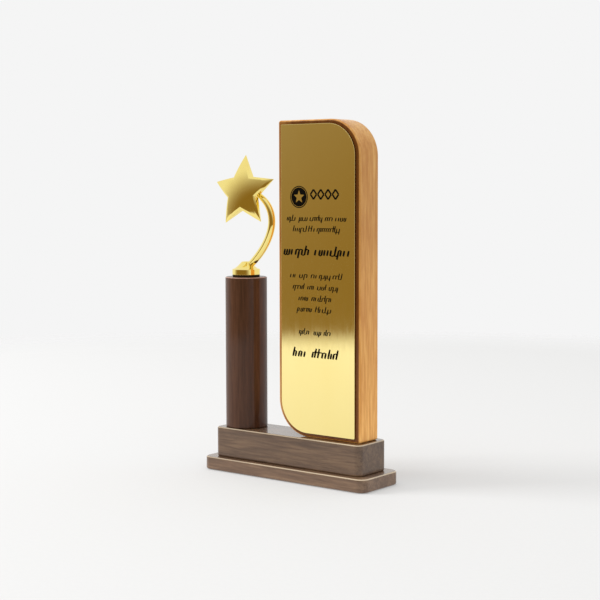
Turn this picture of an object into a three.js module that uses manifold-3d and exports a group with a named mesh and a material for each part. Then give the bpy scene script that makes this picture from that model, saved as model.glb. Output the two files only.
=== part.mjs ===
// Star trophy: a gold star figure on a walnut column, beside a leaf-shaped wooden panel that
// carries a gold plate, both standing on a stepped walnut base. Millimetres, +Z up.
// +X runs along the front from left to right, the front faces -Y, and the origin is the middle
// of the underside. Everything stands on a felt sheet under the plinth.
import * as THREE from 'three';
import { mergeVertices } from 'three/addons/utils/BufferGeometryUtils.js';
import Module from 'manifold-3d';

const wasm = await Module();
wasm.setup();

// ---------------------------------------------------------------- driving dimensions

const CLEARANCE = 0.3;            // gap round anything that passes through or plugs into a piece
const OVERCUT = 1;                // how far a cutting tool runs past the face it opens

// plinth, the low slab at the bottom
const PLINTH_LENGTH = 143;
const PLINTH_DEPTH = 43.5;
const PLINTH_HEIGHT = 9.4;
const PLINTH_CORNER = 6.5;
const FELT_INSET = 3;
const FELT_THICKNESS = 1;
const FELT_PROUD = 0.4;           // how far the felt stands below the wood

// block, the taller slab on the plinth
const BLOCK_LENGTH = 128.5;
const BLOCK_DEPTH = 32.5;
const BLOCK_HEIGHT = 21.5;
const BLOCK_CORNER = 4.5;
const BASE_EDGE = 1.2;            // rounding of the arrises of plinth and block

// turned column
const COLUMN_DIAMETER = 30;
const COLUMN_HEIGHT = 108.6;
const COLUMN_END_INSET = 16.5;    // column axis from the left end of the block
const COLUMN_EDGE = 0.9;

// leaf-shaped panel
const PANEL_WIDTH = 69.6;
const PANEL_HEIGHT = 218.7;
const PANEL_THICKNESS = 22;
const PANEL_LEAF_RADIUS = 25.3;   // top right and bottom left
const PANEL_SMALL_RADIUS = 1.8;   // the two square corners
const PANEL_END_INSET = 3.6;      // panel's right edge from the right end of the block
const PANEL_EDGE = 1.6;           // rounding of the panel's arrises

// plate on the panel's front
const PLATE_SIDE_MARGIN = 3.5;
const PLATE_END_MARGIN = 3;       // above and below
const PLATE_THICKNESS = 0.7;
const TAPE_THICKNESS = 0.5;
const TAPE_INSET = 0.2;           // tape sheet inside the plate's outline

// figure: foot, stem and star
const GASKET_THICKNESS = 1.2;
const GASKET_INSET = 0.1;
const FOOT_RADIUS = 10;
const FOOT_HEIGHT = 4.5;
const FOOT_EDGE = 0.5;
const FLARE_HEIGHT = 5;
const FLARE_TOP_RADIUS = 3.2;
const FLARE_HOLLOW = 1.4;         // 1 is a straight cone, more is a hollower flare
const STEM_REACH = 24;            // furthest point of the stem's centre line from the column axis
const STEM_HEIGHT = 56.7;         // from the top of the foot's rim to the stem's end
const STEM_WIDTH = 5.8;           // across the widest place, seen from the front
const STEM_THICKNESS = 4.8;       // front ridge to back ridge at the same place
const STEM_ROOT_SHARE = 0.8;      // size at the foot, against the widest place
const STEM_END_SHARE = 0.45;      // size behind the star, against the widest place
const SECTION_POWER = 1.15;       // 1 is an oval section, more draws it to ridges
const SEAT_HEIGHT = 1.4;          // from the stem's surface to the star's back
const SEAT_RADIUS = 2.3;
const SPIGOT_RADIUS = 1.3;
const SPIGOT_LENGTH = 2.4;
const STAR_TIP_RADIUS = 26.8;
const STAR_NOTCH_RADIUS = 12.9;
const STAR_NOTCH_WALL = 3.6;      // side wall at the notches
const STAR_TIP_WALL = 0.5;        // side wall at the tips
const STAR_BEVEL = 1.3;           // width of the bevel round the face
const STAR_BEVEL_DEPTH = 1.1;
const STAR_CROWN = 1.3;           // middle of the face in front of its notches
const STAR_LEAN = 7;              // degrees, top tip towards the back
const STAR_SWING = 3;             // degrees, face towards the panel's side
const STAR_ROLL = 2;              // degrees, anticlockwise seen from the front
const STAR_JOINT_RIGHT = 3.2;     // stem's end to the right of the star's centre
const STAR_JOINT_ABOVE = 2;       // stem's end above the star's centre

// hardware
const ROD_RADIUS = 3;
const ROD_IN_FOOT = 5;
const ROD_TAIL = 1;               // rod past the nut
const WASHER_RADIUS = 6;
const WASHER_THICKNESS = 1.6;
const NUT_ACROSS_FLATS = 10;
const NUT_HEIGHT = 5;
const NUT_ROOM_RADIUS = 8;
const NUT_HEADROOM = 1;           // from the felt to the rod's lower end, at least
const PLINTH_SCREW_LENGTH = 20;
const PLINTH_SCREW_RADIUS = 1.75;
const PLINTH_SCREW_END = 6;       // from each end of the block
const PLINTH_SCREW_SIDE = 6.5;    // from the block's front and back
const PANEL_SCREW_LENGTH = 48;
const PANEL_SCREW_RADIUS = 2.25;
const PANEL_SCREW_SPACING = 30;
const SCREW_HEAD_RATIO = 2;       // head radius over shank radius
const SCREW_HEAD_SINK = 0.2;      // head below the surface it is driven into
const SCREW_RIM = 0.2;            // straight rim of a head, against the shank radius
const ROD_CHAMFER = 0.6;

// smoothness
const ARC_STEPS = 4;              // in a quarter turn of 1 mm radius; more as the root of the radius
const EDGE_STEPS = 3;
const SMALLEST_RADIUS = 0.05;
const ROUND_SIDES = 64;
const BORE_SIDES = 24;
const FLARE_STEPS = 6;
const STEM_SIDES = 12;
const STEM_STEPS = 36;
const MERGE_DISTANCE = 1e-4;

// ---------------------------------------------------------------- places worked out from them

const columnRadius = COLUMN_DIAMETER / 2;
const plinthBottom = FELT_PROUD;
const blockBottom = plinthBottom + PLINTH_HEIGHT;
const blockTop = blockBottom + BLOCK_HEIGHT;
const columnTop = blockTop + COLUMN_HEIGHT;
const footBottom = columnTop + GASKET_THICKNESS;
const footTop = footBottom + FOOT_HEIGHT;
const columnX = COLUMN_END_INSET - BLOCK_LENGTH / 2;
const panelX = BLOCK_LENGTH / 2 - PANEL_END_INSET - PANEL_WIDTH / 2;
const panelFront = -PANEL_THICKNESS / 2;
const feltTop = plinthBottom + FELT_THICKNESS - FELT_PROUD;
const nutStack = WASHER_THICKNESS + NUT_HEIGHT + ROD_TAIL;
const washerTop = Math.max(blockBottom, feltTop + NUT_HEADROOM + nutStack);
const nutTop = washerTop - WASHER_THICKNESS;
const rodBottom = washerTop - nutStack;
const rodTop = footBottom + ROD_IN_FOOT;

// ---------------------------------------------------------------- materials

const walnut = new THREE.MeshStandardMaterial({ color: 0x6a4a37, roughness: 0.4, metalness: 0 });
const oak = new THREE.MeshStandardMaterial({ color: 0xb98a52, roughness: 0.45, metalness: 0 });
const plating = new THREE.MeshStandardMaterial({ color: 0xe6c34a, roughness: 0.1, metalness: 1 });
const plateGold = new THREE.MeshStandardMaterial({ color: 0xd9b04a, roughness: 0.2, metalness: 1 });
const tape = new THREE.MeshStandardMaterial({ color: 0x1c120c, roughness: 0.8, metalness: 0 });
const rubber = new THREE.MeshStandardMaterial({ color: 0x17110d, roughness: 0.7, metalness: 0 });
const felt = new THREE.MeshStandardMaterial({ color: 0x141414, roughness: 1, metalness: 0 });
const zincSteel = new THREE.MeshStandardMaterial({ color: 0xb9bcc0, roughness: 0.35, metalness: 1 });

// ---------------------------------------------------------------- solids

// The solid of a closed geometry.
function solid(geometry) {
  const bare = geometry.clone();
  bare.deleteAttribute('normal');
  bare.deleteAttribute('uv');
  const merged = mergeVertices(bare, MERGE_DISTANCE);
  const mesh = new wasm.Mesh({
    numProp: 3,
    vertProperties: new Float32Array(merged.attributes.position.array),
    triVerts: new Uint32Array(merged.index.array),
  });
  mesh.merge();
  return new wasm.Manifold(mesh);
}

// The geometry of a solid.
function shell(body) {
  const mesh = body.getMesh();
  const geometry = new THREE.BufferGeometry();
  geometry.setAttribute('position', new THREE.BufferAttribute(mesh.vertProperties, 3));
  geometry.setIndex(new THREE.BufferAttribute(mesh.triVerts, 1));
  geometry.computeVertexNormals();
  return geometry;
}

// The first geometry less all the others.
function cut(geometry, tools) {
  return shell(tools.reduce((body, tool) => body.subtract(solid(tool)), solid(geometry)));
}

function join(geometries) {
  return shell(geometries.map(solid).reduce((body, next) => body.add(next)));
}

// A revolved outline standing on z = 0, given as [radius, height] points from axis to axis.
function turned(points, sides) {
  const geometry = new THREE.LatheGeometry(points.map(([r, h]) => new THREE.Vector2(r, h)), sides);
  return geometry.rotateX(Math.PI / 2);
}

// An upright round bar or hole from one height to another.
function upright(radius, from, to, x = 0, y = 0, sides = BORE_SIDES) {
  const points = [[0, 0], [radius, 0], [radius, to - from], [0, to - from]];
  return turned(points, sides).translate(x, y, from);
}

// A rectangle with its own radius at each corner: top right, bottom right, bottom left, top left.
function roundedOutline(width, height, radii) {
  const outline = new THREE.Shape();
  const corners = [[1, 1, 0], [1, -1, -1], [-1, -1, -2], [-1, 1, -3]];
  corners.forEach(([sx, sy, quarter], i) => {
    const radius = radii[i];
    const count = Math.max(EDGE_STEPS + 1, Math.round(ARC_STEPS * Math.sqrt(radius)));
    for (let k = 0; k <= count; k++) {
      const angle = (quarter + 1 - k / count) * Math.PI / 2;
      const x = sx * (width / 2 - radius) + radius * Math.cos(angle);
      const y = sy * (height / 2 - radius) + radius * Math.sin(angle);
      if (i + k === 0) outline.moveTo(x, y);
      else outline.lineTo(x, y);
    }
  });
  outline.closePath();
  return outline;
}

// A slab of the outline's shape, its rounded edges inside the given size.
function slab(width, height, thickness, radii, edge = 0) {
  const inner = radii.map((radius) => Math.max(radius - edge, SMALLEST_RADIUS));
  const outline = roundedOutline(width - 2 * edge, height - 2 * edge, inner);
  return new THREE.ExtrudeGeometry(outline, {
    depth: thickness - 2 * edge,
    bevelThickness: edge,
    bevelSize: edge,
    bevelSegments: EDGE_STEPS,
    bevelEnabled: edge > 0,
    curveSegments: 1,
  }).translate(0, 0, edge);
}

// A countersunk wood screw pointing up, its head's face on z = 0.
function woodScrew(radius, length) {
  const head = radius * SCREW_HEAD_RATIO;
  const rim = radius * SCREW_RIM;
  return turned([
    [0, 0],
    [head, 0],
    [head, rim],
    [radius, rim + head - radius],
    [radius, length - 2 * radius],
    [0, length],
  ], BORE_SIDES);
}

// The room that such a screw needs: countersink, clearance hole and pilot point.
function screwRoom(radius, length) {
  const head = radius * SCREW_HEAD_RATIO + CLEARANCE;
  const shank = radius + CLEARANCE;
  const rim = radius * SCREW_RIM + CLEARANCE;
  return turned([
    [0, -OVERCUT],
    [head, -OVERCUT],
    [head, rim],
    [shank, rim + head - shank],
    [shank, length + CLEARANCE],
    [0, length + CLEARANCE],
  ], BORE_SIDES);
}

const trophy = new THREE.Group();

function addPiece(name, geometry, material, parent = trophy) {
  const piece = new THREE.Mesh(geometry, material);
  piece.name = name;
  parent.add(piece);
  return piece;
}

// ---------------------------------------------------------------- screw places

const plinthScrewX = BLOCK_LENGTH / 2 - PLINTH_SCREW_END;
const plinthScrewY = BLOCK_DEPTH / 2 - PLINTH_SCREW_SIDE;
const plinthScrewPlaces = [[-1, -1], [1, -1], [-1, 1], [1, 1]].map(
  ([sx, sy]) => [sx * plinthScrewX, sy * plinthScrewY]);
const plinthScrewFrom = feltTop + SCREW_HEAD_SINK;
const panelFootMiddle = panelX + (PANEL_LEAF_RADIUS - PANEL_SMALL_RADIUS) / 2;
const panelScrewPlaces = [-1, 1].map(
  (side) => [panelFootMiddle + side * PANEL_SCREW_SPACING / 2, 0]);
const panelScrewFrom = blockBottom + SCREW_HEAD_SINK;

// ---------------------------------------------------------------- base

const feltLength = PLINTH_LENGTH - 2 * FELT_INSET;
const feltDepth = PLINTH_DEPTH - 2 * FELT_INSET;
const feltRadii = Array(4).fill(PLINTH_CORNER - FELT_INSET);
addPiece('base_felt', slab(feltLength, feltDepth, FELT_THICKNESS, feltRadii), felt);

const plinthRadii = Array(4).fill(PLINTH_CORNER);
const recess = slab(
  feltLength + 2 * CLEARANCE, feltDepth + 2 * CLEARANCE, FELT_THICKNESS - FELT_PROUD + OVERCUT,
  feltRadii.map((radius) => radius + CLEARANCE));
const plinthScrewRooms = plinthScrewPlaces.map(
  ([x, y]) => screwRoom(PLINTH_SCREW_RADIUS, PLINTH_SCREW_LENGTH).translate(x, y, plinthScrewFrom));
const nutRoom = upright(NUT_ROOM_RADIUS, feltTop - OVERCUT, washerTop, columnX);
const plinthGeometry = cut(
  slab(PLINTH_LENGTH, PLINTH_DEPTH, PLINTH_HEIGHT, plinthRadii, BASE_EDGE)
    .translate(0, 0, plinthBottom),
  [
    recess.translate(0, 0, plinthBottom - OVERCUT),
    nutRoom,
    ...plinthScrewRooms,
  ]);
addPiece('plinth', plinthGeometry, walnut);

const panelScrewRooms = panelScrewPlaces.map(
  ([x, y]) => screwRoom(PANEL_SCREW_RADIUS, PANEL_SCREW_LENGTH).translate(x, y, panelScrewFrom));
const rodRoom = upright(ROD_RADIUS + CLEARANCE, blockBottom - OVERCUT, columnTop + OVERCUT, columnX);
const blockGeometry = cut(
  slab(BLOCK_LENGTH, BLOCK_DEPTH, BLOCK_HEIGHT, Array(4).fill(BLOCK_CORNER), BASE_EDGE)
    .translate(0, 0, blockBottom),
  [nutRoom, rodRoom, ...plinthScrewRooms, ...panelScrewRooms]);
addPiece('base_block', blockGeometry, walnut);

plinthScrewPlaces.forEach(([x, y], i) => {
  const screw = woodScrew(PLINTH_SCREW_RADIUS, PLINTH_SCREW_LENGTH);
  addPiece(`plinth_screw_${i + 1}`, screw, zincSteel).position.set(x, y, plinthScrewFrom);
});

// ---------------------------------------------------------------- column and its tie rod

const columnOutline = [[0, 0], [columnRadius - COLUMN_EDGE, 0], [columnRadius, COLUMN_EDGE]];
for (let k = 0; k <= EDGE_STEPS; k++) {
  const angle = (k / EDGE_STEPS) * Math.PI / 2;
  columnOutline.push([
    columnRadius - COLUMN_EDGE * (1 - Math.cos(angle)),
    COLUMN_HEIGHT - COLUMN_EDGE * (1 - Math.sin(angle)),
  ]);
}
columnOutline.push([0, COLUMN_HEIGHT]);
const columnGeometry = cut(turned(columnOutline, ROUND_SIDES).translate(columnX, 0, blockTop), [rodRoom]);
addPiece('column', columnGeometry, walnut);

const rodLength = rodTop - rodBottom;
const rodGeometry = turned([
  [0, 0],
  [ROD_RADIUS - ROD_CHAMFER, 0],
  [ROD_RADIUS, ROD_CHAMFER],
  [ROD_RADIUS, rodLength - ROD_CHAMFER],
  [ROD_RADIUS - ROD_CHAMFER, rodLength],
  [0, rodLength],
], BORE_SIDES);
addPiece('tie_rod', rodGeometry, zincSteel).position.set(columnX, 0, rodBottom);

const rodHole = upright(ROD_RADIUS + CLEARANCE, -OVERCUT, NUT_HEIGHT + OVERCUT);
const washer = cut(upright(WASHER_RADIUS, 0, WASHER_THICKNESS, 0, 0, ROUND_SIDES / 2), [rodHole]);
addPiece('rod_washer', washer, zincSteel).position.set(columnX, 0, nutTop);

const nutBlank = new THREE.CylinderGeometry(
  NUT_ACROSS_FLATS / Math.sqrt(3), NUT_ACROSS_FLATS / Math.sqrt(3), NUT_HEIGHT, 6);
nutBlank.rotateX(Math.PI / 2).translate(0, 0, NUT_HEIGHT / 2);
addPiece('rod_nut', cut(nutBlank, [rodHole]), zincSteel).position.set(columnX, 0, nutTop - NUT_HEIGHT);

// ---------------------------------------------------------------- figure

const gasketRing = cut(
  upright(FOOT_RADIUS - GASKET_INSET, columnTop, footBottom, columnX, 0, ROUND_SIDES),
  [rodRoom.clone().translate(0, 0, OVERCUT + GASKET_THICKNESS)]);
addPiece('figure_gasket', gasketRing, rubber);

// Everything of the figure is laid out from the middle of the foot's upper rim.
const figure = new THREE.Group();
figure.position.set(columnX, 0, footTop);
trophy.add(figure);

// The foot's outline: a drum with eased edges, then a hollow flare up to the stem.
const footOutline = [
  [0, -FOOT_HEIGHT],
  [FOOT_RADIUS - FOOT_EDGE, -FOOT_HEIGHT],
  [FOOT_RADIUS, FOOT_EDGE - FOOT_HEIGHT],
  [FOOT_RADIUS, -FOOT_EDGE],
  [FOOT_RADIUS - FOOT_EDGE, 0],
];
for (let k = 1; k <= FLARE_STEPS; k++) {
  const up = k / FLARE_STEPS;
  footOutline.push([
    THREE.MathUtils.lerp(FOOT_RADIUS - FOOT_EDGE, FLARE_TOP_RADIUS, up),
    FLARE_HEIGHT * up ** FLARE_HOLLOW,
  ]);
}
footOutline.push([0, FLARE_HEIGHT]);

// The stem's centre line in the plane y = 0: out to the right and back up behind the star.
// Each control point is a share of the reach and of the height.
const [stemStart, stemLeaving, stemArriving, stemEnd] = [
  [0.02, 0.02], [0.35, 0.065], [1.96, 0.71], [0.17, 1],
].map(([right, up]) => new THREE.Vector3(right * STEM_REACH, 0, up * STEM_HEIGHT));
const stemLine = new THREE.CubicBezierCurve3(stemStart, stemLeaving, stemArriving, stemEnd);

// How full the section is along the stem: full between a third and a half of the way up.
function stemFullness(along) {
  const root = Math.max(0, 1 - 3 * along) ** 2;
  const end = Math.max(0, 2 * along - 1) ** 2;
  return 1 - (1 - STEM_ROOT_SHARE) * root - (1 - STEM_END_SHARE) * end;
}

// A lens-shaped section with a ridge at the front and the back, swept along the centre line.
function sweptStem() {
  const bar = new THREE.CylinderGeometry(1, 1, 1, STEM_SIDES, STEM_STEPS);
  const places = bar.attributes.position;
  const across = new THREE.Vector3();
  for (let i = 0; i < places.count; i++) {
    const along = places.getY(i) + 0.5;
    const centre = stemLine.getPointAt(along);
    const heading = stemLine.getTangentAt(along);
    across.set(heading.z, 0, -heading.x);
    const angle = Math.atan2(places.getZ(i), places.getX(i));
    const radius = Math.hypot(places.getX(i), places.getZ(i));
    const full = stemFullness(along) * radius;
    const side = Math.cos(angle);
    const front = Math.sin(angle);
    const ridge = Math.sign(front) * Math.abs(front) ** SECTION_POWER;
    const edge = Math.sign(side) * Math.abs(side) ** SECTION_POWER;
    centre.addScaledVector(across, edge * full * STEM_WIDTH / 2);
    centre.y -= ridge * full * STEM_THICKNESS / 2;
    places.setXYZ(i, centre.x, centre.y, centre.z);
  }
  return bar;
}

// The star's own frame: its notches' front edges lie in the plane y = 0 and its face looks to -Y.
const starFrame = new THREE.Object3D();
starFrame.rotation.set(
  -THREE.MathUtils.degToRad(STAR_LEAN),
  -THREE.MathUtils.degToRad(STAR_ROLL),
  THREE.MathUtils.degToRad(STAR_SWING), 'ZXY');

// The stem's end stands a seat's height behind the star's flat back.
const starBack = STAR_NOTCH_WALL;
const joint = new THREE.Vector3(
  STAR_JOINT_RIGHT,
  starBack + SEAT_HEIGHT + STEM_END_SHARE * STEM_THICKNESS / 2,
  STAR_JOINT_ABOVE);
starFrame.position.copy(stemEnd).sub(joint.clone().applyEuler(starFrame.rotation));
starFrame.updateMatrix();

// A bar along the star's own depth axis at the joint.
function jointBar(radius, from, to) {
  const bar = new THREE.CylinderGeometry(radius, radius, to - from, BORE_SIDES);
  return bar.translate(joint.x, (from + to) / 2, joint.z);
}

const seat = jointBar(SEAT_RADIUS, starBack + CLEARANCE, joint.y);
const spigot = jointBar(SPIGOT_RADIUS, starBack - SPIGOT_LENGTH, joint.y);
seat.applyMatrix4(starFrame.matrix);
spigot.applyMatrix4(starFrame.matrix);

const tapping = upright(ROD_RADIUS + CLEARANCE, -FOOT_HEIGHT - OVERCUT,
  ROD_IN_FOOT - FOOT_HEIGHT + CLEARANCE);
const stemBody = join([turned(footOutline, ROUND_SIDES / 2), sweptStem(), seat, spigot]);
addPiece('figure_stem', cut(stemBody, [tapping]), plating, figure);

// ---------------------------------------------------------------- star

// One tip or notch of the star's outline. The inset is measured square to the star's sides.
function starPoint(k, inset) {
  const half = Math.PI / 5;
  const tip = new THREE.Vector2(0, STAR_TIP_RADIUS);
  const notch = new THREE.Vector2(Math.sin(half), Math.cos(half)).multiplyScalar(STAR_NOTCH_RADIUS);
  const toSide = Math.abs(tip.cross(notch)) / tip.distanceTo(notch);
  const radius = (k % 2 ? STAR_NOTCH_RADIUS : STAR_TIP_RADIUS) * (toSide - inset) / toSide;
  return new THREE.Vector2(Math.sin(k * half), Math.cos(k * half)).multiplyScalar(radius);
}

// Depth of the star's front edge: the tips are swept back until only a thin wall is left.
function edgeDepth(k) {
  return k % 2 ? 0 : STAR_NOTCH_WALL - STAR_TIP_WALL;
}

// A ten-sided bar reshaped ring by ring, from the face through the front edge to the flat back.
function starGeometry() {
  const rings = [
    (k) => ({ inset: STAR_BEVEL, depth: edgeDepth(k) - STAR_BEVEL_DEPTH }),
    (k) => ({ inset: 0, depth: edgeDepth(k) }),
    () => ({ inset: 0, depth: starBack }),
  ];
  const bar = new THREE.CylinderGeometry(1, 1, rings.length - 1, 10, rings.length - 1);
  bar.rotateX(-Math.PI / 2);
  const places = bar.attributes.position;
  for (let i = 0; i < places.count; i++) {
    const ring = Math.round((rings.length - 1) / 2 - places.getZ(i));
    const k = (Math.round(Math.atan2(places.getX(i), places.getY(i)) / (Math.PI / 5)) + 10) % 10;
    if (Math.hypot(places.getX(i), places.getY(i)) < 0.5) {
      places.setXYZ(i, 0, ring ? starBack : -STAR_BEVEL_DEPTH - STAR_CROWN, 0);
    } else {
      const { inset, depth } = rings[ring](k);
      const point = starPoint(k, inset);
      places.setXYZ(i, point.x, depth, point.y);
    }
  }
  return bar;
}

const socket = jointBar(SPIGOT_RADIUS + CLEARANCE, starBack - SPIGOT_LENGTH - CLEARANCE,
  starBack + OVERCUT);
const star = addPiece('star', cut(starGeometry(), [socket]), plating, figure);
star.position.copy(starFrame.position);
star.quaternion.copy(starFrame.quaternion);

// ---------------------------------------------------------------- panel and plate

const panelRadii = [PANEL_LEAF_RADIUS, PANEL_SMALL_RADIUS, PANEL_LEAF_RADIUS, PANEL_SMALL_RADIUS];

// Lays a slab upright, its underside turned to the front at the given depth.
function upstanding(geometry, front, thickness, bottom, height) {
  return geometry.rotateX(Math.PI / 2).translate(panelX, front + thickness, bottom + height / 2);
}

const panelBlank = upstanding(
  slab(PANEL_WIDTH, PANEL_HEIGHT, PANEL_THICKNESS, panelRadii, PANEL_EDGE),
  panelFront, PANEL_THICKNESS, blockTop, PANEL_HEIGHT);
addPiece('panel', cut(panelBlank, panelScrewRooms), oak);

panelScrewPlaces.forEach(([x, y], i) => {
  const screw = woodScrew(PANEL_SCREW_RADIUS, PANEL_SCREW_LENGTH);
  addPiece(`panel_screw_${i + 1}`, screw, zincSteel).position.set(x, y, panelScrewFrom);
});

// A flat sheet of the panel's leaf outline, drawn in at the sides and at the ends.
function leafSheet(name, inset, thickness, back, material) {
  const side = PLATE_SIDE_MARGIN + inset;
  const end = PLATE_END_MARGIN + inset;
  const height = PANEL_HEIGHT - 2 * end;
  const leaf = PANEL_LEAF_RADIUS - (side + end) / 2;
  const radii = [leaf, PANEL_SMALL_RADIUS / 2, leaf, PANEL_SMALL_RADIUS / 2];
  const sheet = slab(PANEL_WIDTH - 2 * side, height, thickness, radii);
  addPiece(name, upstanding(sheet, back - thickness, thickness, blockTop + end, height), material);
}

leafSheet('plate_tape', TAPE_INSET, TAPE_THICKNESS, panelFront, tape);
leafSheet('gold_plate', 0, PLATE_THICKNESS, panelFront - TAPE_THICKNESS, plateGold);

export default trophy;
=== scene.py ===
import math
import random

import bmesh
import bpy
from mathutils import Euler, Matrix, Vector

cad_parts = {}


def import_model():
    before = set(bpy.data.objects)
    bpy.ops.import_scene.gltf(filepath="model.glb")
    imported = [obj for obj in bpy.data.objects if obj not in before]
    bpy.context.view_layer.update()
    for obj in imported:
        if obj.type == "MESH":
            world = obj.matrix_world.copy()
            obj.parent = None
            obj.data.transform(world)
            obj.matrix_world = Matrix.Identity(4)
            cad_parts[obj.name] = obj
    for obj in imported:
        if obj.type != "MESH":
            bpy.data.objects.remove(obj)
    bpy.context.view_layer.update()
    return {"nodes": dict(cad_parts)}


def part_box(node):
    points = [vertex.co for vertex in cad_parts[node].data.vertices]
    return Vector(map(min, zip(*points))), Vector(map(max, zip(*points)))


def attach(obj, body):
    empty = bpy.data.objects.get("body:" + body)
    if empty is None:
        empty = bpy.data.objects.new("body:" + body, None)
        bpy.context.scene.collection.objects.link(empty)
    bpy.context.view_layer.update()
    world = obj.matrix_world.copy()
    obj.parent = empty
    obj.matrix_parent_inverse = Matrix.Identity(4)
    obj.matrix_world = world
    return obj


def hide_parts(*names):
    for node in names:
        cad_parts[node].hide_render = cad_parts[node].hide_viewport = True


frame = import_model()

MM = 0.001

# ------------------------------------------------------------------ sizes shared with the CAD model

PLINTH_CORNER = 6.5
BLOCK_CORNER = 4.5
BASE_EDGE = 1.2
FELT_INSET = 3.0
CLEARANCE = 0.3
COLUMN_EDGE = 0.9
PANEL_LEAF_RADIUS = 25.3
PANEL_SMALL_RADIUS = 1.8
PANEL_EDGE = 1.6
PLATE_SIDE_MARGIN = 3.5
PLATE_END_MARGIN = 3.0
FOOT_RADIUS = 10.0
FOOT_HEIGHT = 4.5
FLARE_HEIGHT = 5.0
FLARE_TOP_RADIUS = 3.2
FLARE_HOLLOW = 1.4
STEM_REACH = 24.0
STEM_HEIGHT = 56.7
STEM_WIDTH = 5.8
STEM_THICKNESS = 4.8
STEM_ROOT_SHARE = 0.8
STEM_END_SHARE = 0.45
SEAT_RADIUS = 2.3
STAR_TIP_RADIUS = 26.8
STAR_NOTCH_RADIUS = 12.9
STAR_BACK = 3.6
STAR_BEVEL = 1.3
STAR_BEVEL_DEPTH = 1.1
STAR_CROWN = 1.3
STAR_LEAN = 7.0
STAR_SWING = 3.0
STAR_ROLL = 2.0

# ------------------------------------------------------------------ mesh helpers


def millimetres(node):
    """Lowest and highest corner of a CAD node, in millimetres."""
    low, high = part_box(node)
    return low / MM, high / MM


def piece(name, mesh, material, slot, *nodes):
    """Links a mesh as a piece of the trophy that stands for the given CAD nodes."""
    obj = bpy.data.objects.new(name, mesh)
    bpy.context.scene.collection.objects.link(obj)
    mesh.materials.append(material)
    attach(obj, "root")
    if nodes:
        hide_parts(*nodes)
    return obj


def apply_modifiers(obj):
    """Turns the object's modifiers into its mesh."""
    shown = obj.evaluated_get(bpy.context.evaluated_depsgraph_get())
    mesh = bpy.data.meshes.new_from_object(shown)
    obj.modifiers.clear()
    old = obj.data
    obj.data = mesh
    bpy.data.meshes.remove(old)


def rounded_outline(width, height, radii, steps):
    """Points and outward normals round a rectangle: top right, top left, bottom left, bottom right."""
    points = []
    corners = [(1, 1), (-1, 1), (-1, -1), (1, -1)]
    for quarter, ((side, end), radius) in enumerate(zip(corners, radii)):
        centre = Vector((side * (width / 2 - radius), end * (height / 2 - radius)))
        for k in range(steps + 1):
            angle = (quarter + k / steps) * math.pi / 2
            normal = Vector((math.cos(angle), math.sin(angle)))
            points.append((centre + normal * radius, normal))
    return points


def circle_outline(radius, count):
    """Points and outward normals round a circle."""
    normals = [Vector((math.cos(a), math.sin(a))) for a in
               (2 * math.pi * k / count for k in range(count))]
    return [(normal * radius, normal) for normal in normals]


def lofted(name, outline, strips, place):
    """A closed body of rings that follow an outline.

    Each strip is a run of (inset, height, tilt): how far the ring lies inside the outline, how high
    it lies, and how far its normal is tilted up. Strips meet on a shared ring with their own
    normals, so that an edge between two of them is crisp. place(point, height) gives a position and
    place.direction(normal, up) a direction.
    """
    count = len(outline)
    vertices, faces, normals = [], [], []

    def ring(inset, height):
        start = len(vertices)
        for point, normal in outline:
            vertices.append(place(point - normal * inset, height))
        return start

    def direction(k, tilt):
        flat = outline[k % count][1] * math.cos(tilt)
        return place.direction(flat, math.sin(tilt))

    first = last = None
    for strip in strips:
        for (inset, height, tilt), (next_inset, next_height, next_tilt) in zip(strip, strip[1:]):
            if last is None:
                first = last = ring(inset, height)
            following = ring(next_inset, next_height)
            for k in range(count):
                j = (k + 1) % count
                faces.append((last + k, last + j, following + j, following + k))
                normals += [direction(k, tilt), direction(j, tilt),
                            direction(j, next_tilt), direction(k, next_tilt)]
            last = following
    for start, up in ((first, -1), (last, 1)):
        ring_of = [start + k for k in range(count)]
        faces.append(tuple(ring_of[::-1] if up < 0 else ring_of))
        normals += [place.direction(Vector((0, 0)), up)] * count
    mesh = bpy.data.meshes.new(name)
    mesh.from_pydata([v * MM for v in vertices], [], faces)
    mesh.update()
    mesh.shade_smooth()
    mesh.normals_split_custom_set(normals)
    return mesh


class Lying:
    """Places outlines level, at a middle point, with heights going up."""

    def __init__(self, middle):
        self.middle = middle

    def __call__(self, point, height):
        return self.middle + Vector((point.x, point.y, height))

    def direction(self, flat, up):
        return Vector((flat.x, flat.y, up))


class Upstanding:
    """Places outlines upright, seen from the front, with heights coming to the front."""

    def __init__(self, middle):
        self.middle = middle

    def __call__(self, point, height):
        return self.middle + Vector((point.x, -height, point.y))

    def direction(self, flat, up):
        return Vector((flat.x, -up, flat.y))


def arc(inset, height, radius, start, end, steps=6):
    """A rounded edge as a strip: tilts from start to end degrees about its own centre."""
    strip = []
    for k in range(steps + 1):
        tilt = math.radians(start + (end - start) * k / steps)
        strip.append((inset + radius * (1 - math.cos(tilt)), height + radius * math.sin(tilt), tilt))
    return strip


def slab_strip(thickness, edge, steps=6):
    """The side of a slab that is rounded at the bottom and the top, as one strip."""
    return arc(0, edge, edge, -90, 0, steps) + arc(0, thickness - edge, edge, 0, 90, steps)


# ------------------------------------------------------------------ material helpers


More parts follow.
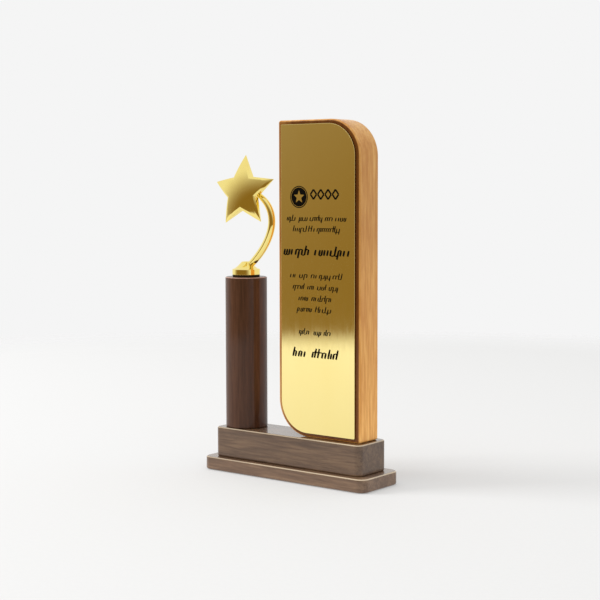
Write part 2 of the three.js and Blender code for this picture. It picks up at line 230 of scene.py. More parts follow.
class NodeTree:
    """Short ways to add and join the nodes of a tree."""

    def __init__(self, tree):
        self.tree = tree

    def add(self, kind, inputs=(), **settings):
        node = self.tree.nodes.new(kind)
        for key, value in settings.items():
            setattr(node, key, value)
        for key, value in dict(inputs).items():
            if isinstance(value, bpy.types.NodeSocket):
                self.tree.links.new(value, node.inputs[key])
            else:
                node.inputs[key].default_value = value
        return node

    def link(self, output, socket):
        self.tree.links.new(output, socket)

    def coordinates(self, scale):
        """Object coordinates stretched by a scale for each axis."""
        where = self.add("ShaderNodeTexCoord")
        return self.add("ShaderNodeMapping", {"Vector": where.outputs["Object"], "Scale": scale}).outputs[0]

    def noise(self, vector, scale=1.0, detail=4.0, roughness=0.5, distortion=0.0):
        inputs = {"Vector": vector, "Scale": scale, "Detail": detail, "Roughness": roughness,
                  "Distortion": distortion}
        return self.add("ShaderNodeTexNoise", inputs).outputs["Fac"]

    def ramp(self, value, stops):
        """A colour ramp of (position, colour) stops."""
        node = self.add("ShaderNodeValToRGB", {"Fac": value})
        elements = node.color_ramp.elements
        while len(elements) < len(stops):
            elements.new(0.5)
        for element, (position, colour) in zip(elements, stops):
            element.position = position
            element.color = (*colour, 1)
        return node.outputs["Color"]

    def span(self, value, low, high, to_low, to_high):
        inputs = {"Value": value, "From Min": low, "From Max": high, "To Min": to_low, "To Max": to_high}
        return self.add("ShaderNodeMapRange", inputs).outputs["Result"]

    def mix(self, factor, a, b, blend="MIX"):
        node = self.add("ShaderNodeMix", data_type="RGBA", blend_type=blend)
        for index, value in ((0, factor), (6, a), (7, b)):
            if isinstance(value, bpy.types.NodeSocket):
                self.link(value, node.inputs[index])
            else:
                node.inputs[index].default_value = value if index == 0 else (*value, 1)
        return node.outputs[2]

    def maths(self, operation, a, b=0.0):
        node = self.add("ShaderNodeMath", operation=operation)
        for index, value in ((0, a), (1, b)):
            if isinstance(value, bpy.types.NodeSocket):
                self.link(value, node.inputs[index])
            else:
                node.inputs[index].default_value = value
        return node.outputs[0]


class Nodes(NodeTree):
    """A new material's node tree, with its principled shader."""

    def __init__(self, name):
        self.material = bpy.data.materials.new(name)
        self.material.use_nodes = True
        super().__init__(self.material.node_tree)
        self.shader = self.tree.nodes["Principled BSDF"]

    def bump(self, height, distance, strength=1.0):
        node = self.add("ShaderNodeBump", {"Height": height, "Distance": distance, "Strength": strength})
        self.link(node.outputs["Normal"], self.shader.inputs["Normal"])

    def set(self, **inputs):
        for key, value in inputs.items():
            self.shader.inputs[key.replace("_", " ")].default_value = value


def colour(red, green, blue):
    """A colour given as it looks on a screen, 0 to 255, turned into light."""
    def to_light(value):
        value /= 255
        return value / 12.92 if value <= 0.04045 else ((value + 0.055) / 1.055) ** 2.4
    return (to_light(red), to_light(green), to_light(blue))


def stretched(along, across, axis):
    """A mapping scale, per metre, for grain that runs along an axis."""
    return tuple(along if k == axis else across for k in range(3))


def lacquered_wood(name, axis, dark, middle, light, lacquer, dashed, front=None, foot=None, wear_tone_and_painted_highlight=None):
    """Wood with broad bands, fine streaks and pores along an axis, under a smooth thin lacquer.

    dashed is how strongly the pores show as dark dashes. front is the tint of painted shade on the
    faces that look to the front, painted lighter at the left. foot is how much brighter the lower end is
    painted, as painted light from the floor. The last argument is the tone of a painted highlight along
    the upper rounded edges.
    """
    n = Nodes(name)
    broad = n.noise(n.coordinates(stretched(5, 90, axis)), detail=3, distortion=0.5)
    streaks = n.noise(n.coordinates(stretched(38, 480, axis)), detail=4, roughness=0.6, distortion=0.35)
    dashes = n.noise(n.coordinates(stretched(120, 1500, axis)), detail=3, roughness=0.65)
    grain = n.maths("ADD", n.maths("MULTIPLY", broad, 0.4), n.maths("MULTIPLY", streaks, 0.6))
    base = n.ramp(grain, [(0.38, dark), (0.5, middle), (0.61, light)])
    pits = n.span(dashes, 0.58, 0.70, 0.0, 1.0)
    shade = n.mix(n.maths("MULTIPLY", pits, dashed), base, [c * 0.6 for c in dark])
    facing = n.add("ShaderNodeSeparateXYZ", {0: n.add("ShaderNodeTexCoord").outputs["Normal"]}).outputs
    where = n.add("ShaderNodeSeparateXYZ", {0: n.add("ShaderNodeTexCoord").outputs["Object"]}).outputs
    # Painted highlight: faces tilted partly upward, the upper rounded edges, are painted toward a pale
    # tone, as if catching the light.
    if wear_tone_and_painted_highlight:
        edge = n.maths("MULTIPLY", n.span(facing["Z"], 0.30, 0.55, 0, 1),
                       n.span(facing["Z"], 0.88, 0.98, 1, 0))
        painted_edge_highlight = n.maths("MULTIPLY", edge, n.span(broad, 0.30, 0.60, 0.45, 0.85))
        shade = n.mix(painted_edge_highlight, shade, wear_tone_and_painted_highlight)
    # Painted shade: faces that look to the front are darkened toward the front tint, about a third less at
    # the left of the panel than at the right, as the lamps would light and shade them.
    if front:
        painted_front_shade = n.maths("MULTIPLY", n.span(facing["Y"], -0.97, -0.80, 1.0, 0.0),
                         n.span(where["X"], -0.006, 0.004, 0.65, 1.0))
        shade = n.mix(painted_front_shade, shade, n.mix(1.0, shade, front, "MULTIPLY"))
    # Painted light: the wood is painted brighter at its lower end, as if lit from the pale floor, fading
    # out between 5 and 20 cm up with a ragged edge.
    if foot:
        painted_floor_light = n.span(n.maths("ADD", where["Z"], n.maths("MULTIPLY", broad, 0.04)), 0.05, 0.20, foot, 1.0)
        shade = n.add("ShaderNodeVectorMath", {0: shade, "Scale": painted_floor_light}, operation="SCALE").outputs[0]
    n.link(shade, n.shader.inputs["Base Color"])
    n.link(n.span(streaks, 0.3, 0.7, 0.42, 0.58), n.shader.inputs["Roughness"])
    relief = n.maths("SUBTRACT", n.maths("MULTIPLY", streaks, 0.6), n.maths("MULTIPLY", pits, 0.4))
    n.bump(relief, 0.05 * MM, 0.5)
    n.set(Specular_IOR_Level=0.1, Coat_Weight=lacquer, Coat_Roughness=0.05, Coat_IOR=1.5)
    return n.material


def polished_gold(name, tint, wear_tone_and_painted_highlight, roughness):
    """Plated metal: faint blotches in the colour, fine haze and the softest ripple."""
    n = Nodes(name)
    blotches = n.noise(n.coordinates((60, 60, 60)), detail=3)
    haze = n.noise(n.coordinates((900, 900, 900)), detail=4, roughness=0.65)
    n.link(n.mix(n.span(blotches, 0.35, 0.7, 0, 0.5), tint, wear_tone_and_painted_highlight), n.shader.inputs["Base Color"])
    n.link(n.span(haze, 0.35, 0.7, roughness * 0.7, roughness * 1.5), n.shader.inputs["Roughness"])
    n.bump(n.noise(n.coordinates((130, 130, 130)), detail=2), 0.02 * MM, 0.35)
    n.set(Metallic=1.0)
    return n.material


def mirror_sheet(name, tint, wear_tone_and_painted_highlight):
    """Gold mirror sheet: nearly flat, with a faint rolled ripple along its height."""
    n = Nodes(name)
    cloud = n.noise(n.coordinates((25, 25, 12)), detail=3)
    n.link(n.mix(n.span(cloud, 0.35, 0.7, 0, 0.6), tint, wear_tone_and_painted_highlight), n.shader.inputs["Base Color"])
    haze = n.noise(n.coordinates((700, 700, 90)), detail=4, roughness=0.6)
    n.link(n.span(haze, 0.3, 0.7, 0.05, 0.09), n.shader.inputs["Roughness"])
    n.bump(n.noise(n.coordinates((16, 16, 9)), detail=2), 0.05 * MM, 0.2)
    n.set(Metallic=1.0)
    return n.material


def dull(name, dark, light, scale, roughness, depth, specular=0.15):
    """Matte stuff with a fine speckle: rubber, foam, ink or felt."""
    n = Nodes(name)
    speckle = n.noise(n.coordinates((scale, scale, scale)), detail=5, roughness=0.7)
    n.link(n.mix(n.span(speckle, 0.3, 0.7, 0, 1), dark, light), n.shader.inputs["Base Color"])
    n.link(n.span(speckle, 0.3, 0.7, roughness - 0.06, roughness + 0.06), n.shader.inputs["Roughness"])
    n.bump(speckle, depth * MM, 0.8)
    n.set(Specular_IOR_Level=specular)
    return n.material


def zinc(name):
    """Zinc-plated steel with a cloudy passivated surface."""
    n = Nodes(name)
    cloud = n.noise(n.coordinates((350, 350, 350)), detail=5, roughness=0.6)
    n.link(n.ramp(cloud, [(0.35, (0.42, 0.43, 0.45)), (0.65, (0.62, 0.63, 0.62))]),
           n.shader.inputs["Base Color"])
    n.link(n.span(cloud, 0.3, 0.7, 0.26, 0.42), n.shader.inputs["Roughness"])
    n.bump(cloud, 0.03 * MM, 0.5)
    n.set(Metallic=1.0)
    return n.material


ALONG_X = 0
ALONG_Z = 2
# The pale last colour of each walnut piece is a painted highlight on its upper rounded edges.
walnut_plinth = lacquered_wood("walnut_plinth", ALONG_X, colour(94, 71, 54), colour(112, 86, 66),
                               colour(130, 103, 79), 1.0, 0.25, wear_tone_and_painted_highlight=colour(214, 196, 168))
walnut_block = lacquered_wood("walnut_block", ALONG_X, colour(80, 59, 43), colour(97, 74, 55),
                              colour(114, 89, 66), 1.0, 0.25, wear_tone_and_painted_highlight=colour(214, 196, 168))
walnut_column = lacquered_wood("walnut_column", ALONG_Z, colour(60, 36, 21), colour(71, 43, 27),
                               colour(81, 51, 34), 0.4, 0.2, wear_tone_and_painted_highlight=colour(190, 150, 134))
# Painted on the panel: front is shade on the faces that look to the front, foot is light on the lower end.
panel_oak = lacquered_wood("panel_oak", ALONG_Z, colour(188, 128, 60), colour(204, 148, 78),
                           colour(218, 167, 96), 0.4, 0.2, front=(0.20, 0.125, 0.055), foot=1.42)
star_gold = polished_gold("figure_gold", (0.95, 0.79, 0.27), (0.90, 0.70, 0.20), 0.07)
plate_gold = mirror_sheet("plate_gold", (1.0, 0.84, 0.36), (0.98, 0.80, 0.31))
print_ink = dull("print_ink", (0.002, 0.0016, 0.001), (0.007, 0.005, 0.003), 2500, 0.7, 0.01, 0.03)
gasket_rubber = dull("gasket_rubber", (0.014, 0.008, 0.004), (0.03, 0.018, 0.009), 900, 0.6, 0.04)
foam_tape = dull("foam_tape", (0.012, 0.006, 0.003), (0.03, 0.015, 0.008), 1500, 0.85, 0.06)
felt_cloth = dull("felt_cloth", (0.006, 0.006, 0.006), (0.035, 0.035, 0.033), 1800, 0.95, 0.25)
zinc_steel = zinc("zinc_steel")

# ------------------------------------------------------------------ base


def plinth():
    """The low slab, with a shallow recess in its underside for the felt."""
    low, high = millimetres("plinth")
    felt_top = millimetres("base_felt")[1].z
    size = high - low
    inset = FELT_INSET - CLEARANCE
    depth = felt_top - low.z
    recess = [(inset, depth, -math.pi), (inset, 0, -math.pi)]
    rim = [(inset, 0, -math.pi / 2), (BASE_EDGE, 0, -math.pi / 2)]
    strips = [recess, rim, slab_strip(size.z, BASE_EDGE)]
    middle = Vector(((low.x + high.x) / 2, (low.y + high.y) / 2, low.z))
    outline = rounded_outline(size.x, size.y, [PLINTH_CORNER] * 4, 12)
    mesh = lofted("plinth_wood", outline, strips, Lying(middle))
    piece("plinth_wood", mesh, walnut_plinth, "walnut", "plinth")


def block():
    """The taller slab on the plinth."""
    low, high = millimetres("base_block")
    size = high - low
    middle = Vector(((low.x + high.x) / 2, (low.y + high.y) / 2, low.z))
    outline = rounded_outline(size.x, size.y, [BLOCK_CORNER] * 4, 12)
    mesh = lofted("block_wood", outline, [slab_strip(size.z, BASE_EDGE)], Lying(middle))
    piece("block_wood", mesh, walnut_block, "walnut", "base_block")


# ------------------------------------------------------------------ column and gasket


def column():
    """The turned column, its ends eased."""
    low, high = millimetres("column")
    radius = (high.x - low.x) / 2
    middle = Vector((low.x + radius, low.y + radius, low.z))
    mesh = lofted("column_wood", circle_outline(radius, 128), [slab_strip(high.z - low.z, COLUMN_EDGE)],
                  Lying(middle))
    piece("column_wood", mesh, walnut_column, "walnut", "column")


def gasket():
    """The dark ring under the figure's foot, bulging a little."""
    low, high = millimetres("figure_gasket")
    radius = (high.x - low.x) / 2
    thickness = high.z - low.z
    middle = Vector((low.x + radius, low.y + radius, low.z))
    side = arc(0, thickness / 2, thickness / 2, -90, 90, 10)
    mesh = lofted("gasket_ring", circle_outline(radius, 96), [side], Lying(middle))
    piece("gasket_ring", mesh, gasket_rubber, "gasket_rubber", "figure_gasket")


# ------------------------------------------------------------------ figure: foot and stem

FOOT_LOW, FOOT_HIGH = millimetres("figure_gasket")
FOOT_AXIS = Vector(((FOOT_LOW.x + FOOT_HIGH.x) / 2, (FOOT_LOW.y + FOOT_HIGH.y) / 2,
                    FOOT_HIGH.z + FOOT_HEIGHT))


def stem_point(along):
    """A point of the stem's centre line, from the foot's upper rim. Along goes from 0 to 1."""
    controls = [(0.02, 0.02), (0.35, 0.065), (1.96, 0.71), (0.17, 1.0)]
    weights = [math.comb(3, k) * (1 - along) ** (3 - k) * along ** k for k in range(4)]
    right = sum(w * c[0] for w, c in zip(weights, controls)) * STEM_REACH
    up = sum(w * c[1] for w, c in zip(weights, controls)) * STEM_HEIGHT
    return Vector((right, 0, up))


def even_stem(steps):
    """Points of the centre line at even distances."""
    fine = [stem_point(k / 400) for k in range(401)]
    lengths = [0.0]
    for a, b in zip(fine, fine[1:]):
        lengths.append(lengths[-1] + (b - a).length)
    points, k = [], 0
    for step in range(steps + 1):
        target = lengths[-1] * step / steps
        while k < len(fine) - 2 and lengths[k + 1] < target:
            k += 1
        share = (target - lengths[k]) / (lengths[k + 1] - lengths[k])
        points.append(fine[k].lerp(fine[k + 1], share))
    return points


def stem_fullness(along):
    root = max(0.0, 1 - 3 * along) ** 2
    end = max(0.0, 2 * along - 1) ** 2
    return 1 - (1 - STEM_ROOT_SHARE) * root - (1 - STEM_END_SHARE) * end


def closed_tube(rings):
    """A closed mesh through rings of the same number of points."""
    count = len(rings[0])
    vertices = [v for ring in rings for v in ring]
    faces = []
    for r in range(len(rings) - 1):
        for k in range(count):
            j = (k + 1) % count
            faces.append((r * count + k, r * count + j, (r + 1) * count + j, (r + 1) * count + k))
    faces.append(tuple(range(count))[::-1])
    last = (len(rings) - 1) * count
    faces.append(tuple(last + k for k in range(count)))
    return vertices, faces


def mesh_object(name, vertices, faces):
    mesh = bpy.data.meshes.new(name)
    mesh.from_pydata([v * MM for v in vertices], [], faces)
    work = bmesh.new()
    work.from_mesh(mesh)
    bmesh.ops.recalc_face_normals(work, faces=work.faces)
    work.to_mesh(mesh)
    work.free()
    obj = bpy.data.objects.new(name, mesh)
    bpy.context.scene.collection.objects.link(obj)
    return obj


def stem_bar():
    """The swept stem, lens-shaped in section with soft ridges at the front and the back."""
    sides, steps, power = 36, 110, 1.12
    points = even_stem(steps)
    rings = []
    for i, point in enumerate(points):
        heading = (points[min(i + 1, steps)] - points[max(i - 1, 0)]).normalized()
        across = Vector((heading.z, 0, -heading.x))
        full = stem_fullness(i / steps)
        ring = []
        for k in range(sides):
            angle = 2 * math.pi * k / sides
            side, front = math.cos(angle), math.sin(angle)
            wide = math.copysign(abs(side) ** power, side) * full * STEM_WIDTH / 2
            deep = math.copysign(abs(front) ** power, front) * full * STEM_THICKNESS / 2
            ring.append(FOOT_AXIS + point + across * wide - Vector((0, deep, 0)))
        rings.append(ring)
    return mesh_object("stem_bar", *closed_tube(rings))


def foot_outline():
    """Radius and height of the foot from its underside to the top of its flare."""
    edge = 0.6
    points = [(FOOT_RADIUS - edge, -FOOT_HEIGHT)]
    for k in range(7):
        angle = math.radians(-90 + 15 * k)
        points.append((FOOT_RADIUS - edge + edge * math.cos(angle),
                       edge - FOOT_HEIGHT + edge * math.sin(angle)))
    for k in range(7):
        angle = math.radians(15 * k)
        points.append((FOOT_RADIUS - edge + edge * math.cos(angle), -edge + edge * math.sin(angle)))
    for k in range(1, 15):
        up = k / 14
        radius = FOOT_RADIUS - edge + (FLARE_TOP_RADIUS - FOOT_RADIUS + edge) * up
        points.append((radius, FLARE_HEIGHT * up ** FLARE_HOLLOW))
    points.append((FLARE_TOP_RADIUS * 0.6, FLARE_HEIGHT + 0.35))
    return points[1:]


def foot_body():
    """The round foot: a drum with eased edges and a hollow flare."""
    sides = 96
    rings = []
    for radius, height in foot_outline():
        rings.append([FOOT_AXIS + Vector((radius * math.cos(a), radius * math.sin(a), height))
                      for a in (2 * math.pi * k / sides for k in range(sides))])
    return mesh_object("foot_body", *closed_tube(rings))


def star_turn():
    """How the star is turned: leaning back, swung to the panel's side and rolled."""
    lean = Matrix.Rotation(-math.radians(STAR_LEAN), 3, "X")
    swing = Matrix.Rotation(math.radians(STAR_SWING), 3, "Z")
    roll = Matrix.Rotation(-math.radians(STAR_ROLL), 3, "Y")
    return swing @ lean @ roll


def seat_body():
    """The short round seat between the stem's end and the star's back."""
    sides = 40
    turn = star_turn()
    end = FOOT_AXIS + stem_point(1.0)
    reach = 1.4 + STEM_END_SHARE * STEM_THICKNESS / 2 - 0.02
    profile = [(SEAT_RADIUS - 0.3, -reach), (SEAT_RADIUS, 0.3 - reach), (SEAT_RADIUS * 0.9, 0.2),
               (SEAT_RADIUS * 0.7, 0.9), (SEAT_RADIUS * 0.35, 1.25)]
    rings = []
    for radius, depth in profile:
        rings.append([end + turn @ Vector((radius * math.cos(a), depth, radius * math.sin(a)))
                      for a in (2 * math.pi * k / sides for k in range(sides))])
    return mesh_object("seat_body", *closed_tube(rings))


def united(target, *others):
    """Joins solids into the target by exact union."""
    for other in others:
        union = target.modifiers.new("union", "BOOLEAN")
        union.operation = "UNION"
        union.solver = "EXACT"
        union.object = other
        apply_modifiers(target)
        bpy.data.objects.remove(other)
    return target


def settle_normals(obj, degrees):
    """Smooth shading that keeps edges sharper than the angle, led by the larger faces."""
    obj.data.shade_smooth()
    obj.data.set_sharp_from_angle(angle=math.radians(degrees))
    weighted = obj.modifiers.new("weighted", "WEIGHTED_NORMAL")
    weighted.keep_sharp = True
    apply_modifiers(obj)


def figure():
    """The cast foot, stem and seat as one piece."""
    obj = united(foot_body(), stem_bar(), seat_body())
    settle_normals(obj, 40)
    mesh = obj.data.copy()
    bpy.data.objects.remove(obj)
    piece("figure_casting", mesh, star_gold, "gold_plating", "figure_stem")


# ------------------------------------------------------------------ star


def star_corner(k, inset):
    """A tip or notch of the star's outline, with the inset measured square to the sides."""
    half = math.pi / 5
    notch = Vector((math.sin(half), math.cos(half))) * STAR_NOTCH_RADIUS
    tip = Vector((0, STAR_TIP_RADIUS))
    to_side = abs(tip.cross(notch)) / (tip - notch).length
    radius = (STAR_NOTCH_RADIUS if k % 2 else STAR_TIP_RADIUS) * (to_side - inset) / to_side
    return Vector((math.sin(k * half), math.cos(k * half))) * radius


def star_ring(inset, per_side):
    """The star's outline with each side cut into equal lengths."""
    points = []
    for k in range(10):
        start, end = star_corner(k, inset), star_corner(k + 1, inset)
        points += [start.lerp(end, j / per_side) for j in range(per_side)]
    return points


def star_face_depth(radius):
    """The face is a shallow dome in front of the star's own frame."""
    return 0.0078 * radius * radius - STAR_BEVEL_DEPTH - STAR_CROWN


def star():
    """The star: domed face, bevel, side walls and a flat back."""
    per_side, face_rings = 8, 12
    inner = star_ring(STAR_BEVEL, per_side)
    outer = star_ring(0.0, per_side)
    count = len(inner)
    rings = []
    for r in range(1, face_rings + 1):
        share = r / face_rings
        rings.append([Vector((p.x * share, star_face_depth((p * share).length), p.y * share))
                      for p in inner])
    front_edge = [Vector((o.x, star_face_depth(i.length) + STAR_BEVEL_DEPTH, o.y))
                  for i, o in zip(inner, outer)]
    rings.append(front_edge)
    rings.append([Vector((o.x, STAR_BACK, o.y)) for o in outer])
    vertices = [v for ring in rings for v in ring]
    faces = []
    for r in range(len(rings) - 1):
        for k in range(count):
            j = (k + 1) % count
            faces.append((r * count + k, r * count + j, (r + 1) * count + j, (r + 1) * count + k))
    vertices.append(Vector((0, star_face_depth(0), 0)))
    front_middle = len(vertices) - 1
    vertices.append(Vector((0, STAR_BACK, 0)))
    back_middle = len(vertices) - 1
    last = (len(rings) - 1) * count
    for k in range(count):
        j = (k + 1) % count
        faces.append((front_middle, k, j))
        faces.append((back_middle, last + j, last + k))
    obj = mesh_object("star_shape", [star_turn() @ v for v in vertices], faces)
    work = bmesh.new()
    work.from_mesh(obj.data)
    crisp = [e for e in work.edges if e.is_manifold and e.calc_face_angle() > math.radians(16)]
    bmesh.ops.bevel(work, geom=crisp, offset=0.16 * MM, segments=2, affect="EDGES", clamp_overlap=True)
    work.to_mesh(obj.data)
    work.free()
    settle_normals(obj, 50)
    low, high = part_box("star")
    points = [v.co for v in obj.data.vertices]
    shift = [(low[k] + high[k]) / 2 - (min(p[k] for p in points) + max(p[k] for p in points)) / 2
             for k in range(3)]
    shift[1] = low[1] - min(p[1] for p in points)
    mesh = obj.data.copy()
    mesh.transform(Matrix.Translation(shift))
    bpy.data.objects.remove(obj)
    piece("star_casting", mesh, star_gold, "gold_plating", "star")


# ------------------------------------------------------------------ panel and plate


def leaf(width, height, large, small, steps=24):
    """The leaf outline: large curves at the top right and the bottom left."""
    return rounded_outline(width, height, [large, small, large, small], steps)


def standing_leaf(name, node, large, small, edge):
    """A leaf-shaped slab that fills a CAD node's box."""
    low, high = millimetres(node)
    size = high - low
    middle = Vector(((low.x + high.x) / 2, high.y, (low.z + high.z) / 2))
    strips = [slab_strip(size.y, edge)]
    return lofted(name, leaf(size.x, size.z, large, small), strips, Upstanding(middle))


def panel():
    mesh = standing_leaf("panel_wood", "panel", PANEL_LEAF_RADIUS, PANEL_SMALL_RADIUS, PANEL_EDGE)
    piece("panel_wood", mesh, panel_oak, "oak", "panel")


def plate():
    large = PANEL_LEAF_RADIUS - (PLATE_SIDE_MARGIN + PLATE_END_MARGIN) / 2
    mesh = standing_leaf("plate_sheet", "gold_plate", large, PANEL_SMALL_RADIUS / 2, 0.18)
    piece("plate_sheet", mesh, plate_gold, "plate_gold", "gold_plate")


# ------------------------------------------------------------------ print on the plate

INK_HEIGHT = 0.03


class Print:
    """Flat ink marks on the plate, gathered into one mesh. Places are measured in millimetres from
    the middle of the plate's top edge: right and down."""

    def __init__(self):
        low, high = millimetres("gold_plate")
        self.origin = Vector(((low.x + high.x) / 2, low.y, high.z))
        self.vertices, self.faces = [], []

    def put(self, right, down, lift):
        return self.origin + Vector((right, -lift, -down))

    def sheet(self, points):
        """A thin closed patch of the polygon's shape, its points going round anticlockwise."""
        count = len(points)
        start = len(self.vertices)
        for lift in (0.0, INK_HEIGHT):
            self.vertices += [self.put(right, down, lift) for right, down in points]
        self.faces.append(tuple(start + k for k in range(count)))
        self.faces.append(tuple(start + count + k for k in reversed(range(count))))
        for k in range(count):
            j = (k + 1) % count
            self.faces.append((start + k, start + count + k, start + count + j, start + j))

    def stroke(self, points, widths):
        """A pen stroke along the points as one patch."""
        left, right = [], []
        for i, point in enumerate(points):
            ahead = points[min(i + 1, len(points) - 1)]
            behind = points[max(i - 1, 0)]
            heading = (Vector(ahead) - Vector(behind)).normalized()
            square = Vector((-heading.y, heading.x)) * widths[i] / 2
            left.append(Vector(point) + square)
            right.append(Vector(point) - square)
        self.sheet(list(left) + list(reversed(right)))

    def finish(self):
        mesh = bpy.data.meshes.new("plate_print")
        mesh.from_pydata([v * MM for v in self.vertices], [], self.faces)
        work = bmesh.new()
        work.from_mesh(mesh)
        bmesh.ops.recalc_face_normals(work, faces=work.faces)
        work.to_mesh(mesh)
        work.free()
        piece("plate_print", mesh, print_ink, "plate_gold")


def scribble(ink, dice, left, baseline, width, height, weight):
    """One made-up word: slanting pen strokes, some tall and some deep, with thin links; no letters."""
    slant = 0.26
    x = left
    while x < left + width:
        kind = dice.random()
        top = baseline - height * (1.7 if kind > 0.82 else 1.0)
        foot = baseline + height * (0.6 if kind < 0.10 else 0.0)
        lean = [(x + (baseline - y) * slant, y) for y in (top, (top + foot) / 2, foot)]
        ink.stroke(lean, [weight * 0.75, weight, weight * 0.8])
        pitch = height * dice.choice((0.55, 0.7, 0.95))
        if x + pitch < left + width and dice.random() < 0.75:
            at_top = dice.random() < 0.5
            y = baseline - height * (0.90 if at_top else 0.08)
            sag = height * (-0.12 if at_top else 0.12)
            shift = (baseline - y) * slant
            link = [(x + shift, y), (x + shift + pitch / 2, y + sag), (x + shift + pitch, y)]
            ink.stroke(link, [weight * 0.5] * 3)
        x += pitch


def scribbled_line(ink, dice, middle, baseline, width, height, weight, words):
    """A centred line of made-up words."""
    shares = [dice.uniform(0.6, 1.4) for _ in range(words)]
    gap = height * 1.1
    room = width - gap * (words - 1)
    left = middle - width / 2
    for share in shares:
        length = room * share / sum(shares)
        scribble(ink, dice, left, baseline, length, height, weight)
        left += length + gap


def medallion(ink, right, down, radius):
    """A dark disc with an open five-pointed star and a fine ring round it."""
    steps = 60
    tip, notch = radius * 0.62, radius * 0.27
    half = math.pi / 5

    def star_reach(angle):
        """Distance from the middle to the star's outline."""
        turned = (angle + math.pi / 2) % (2 * half)
        turned = min(turned, 2 * half - turned)
        near, far = Vector((tip, 0)), Vector((notch * math.cos(half), notch * math.sin(half)))
        ray = Vector((math.cos(turned), math.sin(turned)))
        side = far - near
        return near.cross(side) / ray.cross(side)

    for k in range(steps):
        a, b = 2 * math.pi * k / steps, 2 * math.pi * (k + 1) / steps
        for inside, outside in ((star_reach, radius * 0.86), (None, radius)):
            near = (inside(a), inside(b)) if inside else (radius * 0.91, radius * 0.91)
            corners = ((near[0], a), (outside, a), (outside, b), (near[1], b))
            ink.sheet([(right + r * math.cos(t), down + r * math.sin(t)) for r, t in corners])


def lozenges(ink, left, down, count, width, height, weight):
    """A row of open lozenges."""
    for k in range(count):
        middle = left + width * (k + 0.5)
        corners = [(middle, down - height / 2), (middle + width * 0.42, down),
                   (middle, down + height / 2), (middle - width * 0.42, down)]
        for a, b in zip(corners, corners[1:] + corners[:1]):
            ink.stroke([a, b], [weight, weight])


def plate_print():
    """Made-up print in the places of an award text: star, lozenges and scribbled lines."""
    dice = random.Random(7)
    ink = Print()
    medallion(ink, -15.6, 49.6, 7.6)
    lozenges(ink, -6.2, 47.8, 4, 6.2, 6.6, 1.25)
    small, large = (2.4, 0.95), (3.8, 1.7)
    lines = [(-0.6, 65.8, 51.0, small, 5), (-0.8, 73.2, 40.0, small, 2), (-0.8, 89.3, 56.0, large, 2),
             (-0.8, 105.0, 45.0, small, 5), (-2.0, 112.8, 38.0, small, 4), (-2.0, 120.6, 28.0, small, 2),
             (-2.6, 128.2, 29.5, small, 2), (-2.2, 143.8, 27.0, small, 3), (-1.6, 159.6, 39.0, large, 2)]
    for middle, baseline, width, (height, weight), words in lines:
        scribbled_line(ink, dice, middle, baseline, width, height, weight, words)
    ink.finish()


# ------------------------------------------------------------------ carried-over CAD nodes


def dress(node, material):
    """Gives a CAD node its finish."""
    obj = frame["nodes"][node]
    obj.data.materials.clear()
    obj.data.materials.append(material)


def dress_hardware():
    dress("base_felt", felt_cloth)
    dress("plate_tape", foam_tape)
    for node in sorted(frame["nodes"]):
        if "screw" in node or node.startswith(("tie_", "rod_")):
            dress(node, zinc_steel)


# ------------------------------------------------------------------ studio

CAMERA_TURN = 37.976              # degrees to the right of the front
CAMERA_DIP = 4.743                # degrees below the horizon
CAMERA_ROLL = -0.133
CAMERA_DISTANCE = 976.975 * MM
CAMERA_TARGET = Vector((1.412, 0, 206.358)) * MM
CAMERA_LENS = 84.0


def camera():
    data = bpy.data.cameras.new("camera")
    data.lens = CAMERA_LENS
    data.sensor_width = 36
    obj = bpy.data.objects.new("camera", data)
    turn = math.radians(CAMERA_TURN)
    away = Vector((math.sin(turn), -math.cos(turn), 0))
    looking = Euler((math.radians(90 - CAMERA_DIP), 0, turn)).to_matrix()
    roll = Matrix.Rotation(math.radians(CAMERA_ROLL), 3, "Z")
    place = Matrix.Translation(CAMERA_TARGET + away * CAMERA_DISTANCE)
    obj.matrix_world = place @ (looking @ roll).to_4x4()
    bpy.context.scene.collection.objects.link(obj)
    bpy.context.scene.camera = obj


PALE = 0.913                      # the pale backdrop, as light
FLOOR_RADIUS = 1.0
FLOOR_SOLID = 0.80                # share of the radius within which the floor is whole
FLOOR_GLOW = 0.30                 # how much light the translucent floor gives from below
BACKDROP = (0.95, 0.95, 0.94)     # light from the pale backdrop behind and above
ROOM = (0.26, 0.165, 0.045)       # light from the dimmer, warmer room in front
ROOM_RISE = -32                   # degrees that the middle of the room lies above the horizon
ROOM_START, ROOM_WHOLE = 0.2, 0.75  # cosines from that middle where the room starts and is whole
LAMP_SIZE = 1.2
LAMP_DISTANCE = 2.6
LEFT_LAMP_WATTS = 44.0
TOP_LAMP_WATTS = 12.0


def bearing(degrees_right, degrees_up=0.0):
    """A direction given by how far it lies to the right of the front and above the horizon."""
    turn, rise = math.radians(degrees_right), math.radians(degrees_up)
    return Vector((math.sin(turn) * math.cos(rise), -math.cos(turn) * math.cos(rise), math.sin(rise)))


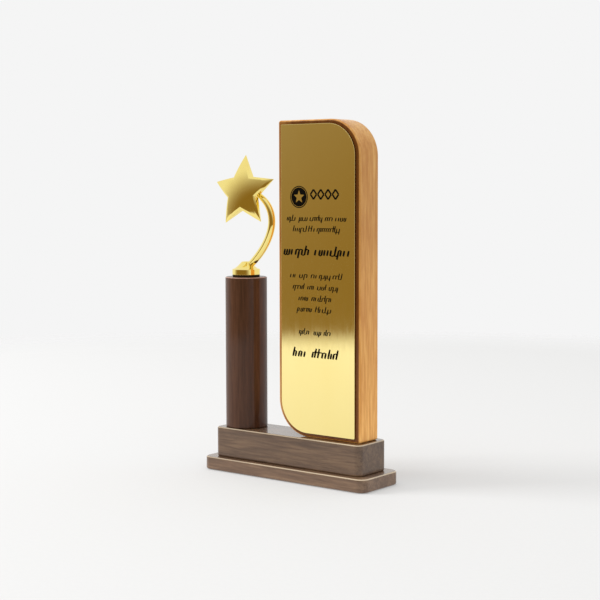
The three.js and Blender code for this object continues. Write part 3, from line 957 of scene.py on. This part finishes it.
def floor():
    """A plain round pale floor, evenly lit a little from below, whose rim fades into the backdrop."""
    work = bmesh.new()
    bmesh.ops.create_circle(work, cap_ends=True, segments=96, radius=FLOOR_RADIUS)
    mesh = bpy.data.meshes.new("floor")
    work.to_mesh(mesh)
    work.free()
    obj = bpy.data.objects.new("floor", mesh)
    bpy.context.scene.collection.objects.link(obj)
    n = Nodes("floor")
    where = n.add("ShaderNodeTexCoord").outputs["Object"]
    out = n.add("ShaderNodeVectorMath", {0: where}, operation="LENGTH").outputs["Value"]
    n.link(n.span(out, FLOOR_RADIUS * FLOOR_SOLID, FLOOR_RADIUS, 1.0, 0.0), n.shader.inputs["Alpha"])
    grain = n.noise(n.coordinates((300, 300, 300)), detail=3)
    n.link(n.mix(grain, (0.44, 0.44, 0.44), (0.46, 0.46, 0.46)), n.shader.inputs["Base Color"])
    n.set(Roughness=0.9, Specular_IOR_Level=0.0, Emission_Color=(1, 1, 1, 1), Emission_Strength=FLOOR_GLOW)
    mesh.materials.append(n.material)


def square_lamp(name, size, watts, place, target):
    """A soft square lamp at a place, its front turned to the target. Polished metal doesn't mirror it."""
    data = bpy.data.lights.new(name, "AREA")
    data.shape = "SQUARE"
    data.size = size
    data.energy = watts
    obj = bpy.data.objects.new(name, data)
    obj.visible_glossy = False
    obj.location = place
    obj.rotation_euler = (Vector(target) - Vector(place)).to_track_quat("-Z", "Y").to_euler()
    bpy.context.scene.collection.objects.link(obj)


def lamps():
    """A large soft lamp from the left and a weaker one from above."""
    square_lamp("left_lamp", LAMP_SIZE, LEFT_LAMP_WATTS, bearing(-55, 30) * LAMP_DISTANCE, (0, 0, 0.12))
    square_lamp("top_lamp", LAMP_SIZE, TOP_LAMP_WATTS, bearing(-20, 66) * LAMP_DISTANCE, (0, 0, 0.10))


def world():
    """A pale backdrop behind and above that blends into a dimmer room in front; the camera sees
    an even pale backdrop."""
    surround = bpy.data.worlds.new("studio")
    bpy.context.scene.world = surround
    surround.use_nodes = True
    n = NodeTree(surround.node_tree)
    towards = {0: n.add("ShaderNodeTexCoord").outputs["Generated"], 1: bearing(0, ROOM_RISE)}
    ahead = n.add("ShaderNodeVectorMath", towards, operation="DOT_PRODUCT").outputs["Value"]
    inputs = {"Value": ahead, "From Min": ROOM_START, "From Max": ROOM_WHOLE}
    blend = n.add("ShaderNodeMapRange", inputs, interpolation_type="SMOOTHSTEP").outputs["Result"]
    seen = n.add("ShaderNodeLightPath").outputs["Is Camera Ray"]
    shown = n.mix(seen, n.mix(blend, BACKDROP, ROOM), (PALE, PALE, PALE))
    n.link(shown, n.tree.nodes["Background"].inputs["Color"])


def studio():
    camera()
    floor()
    lamps()
    world()
    bpy.context.scene.view_settings.view_transform = "Standard"


# ------------------------------------------------------------------ build

plinth()
block()
column()
gasket()
figure()
star()
panel()
plate()
plate_print()
dress_hardware()
studio()
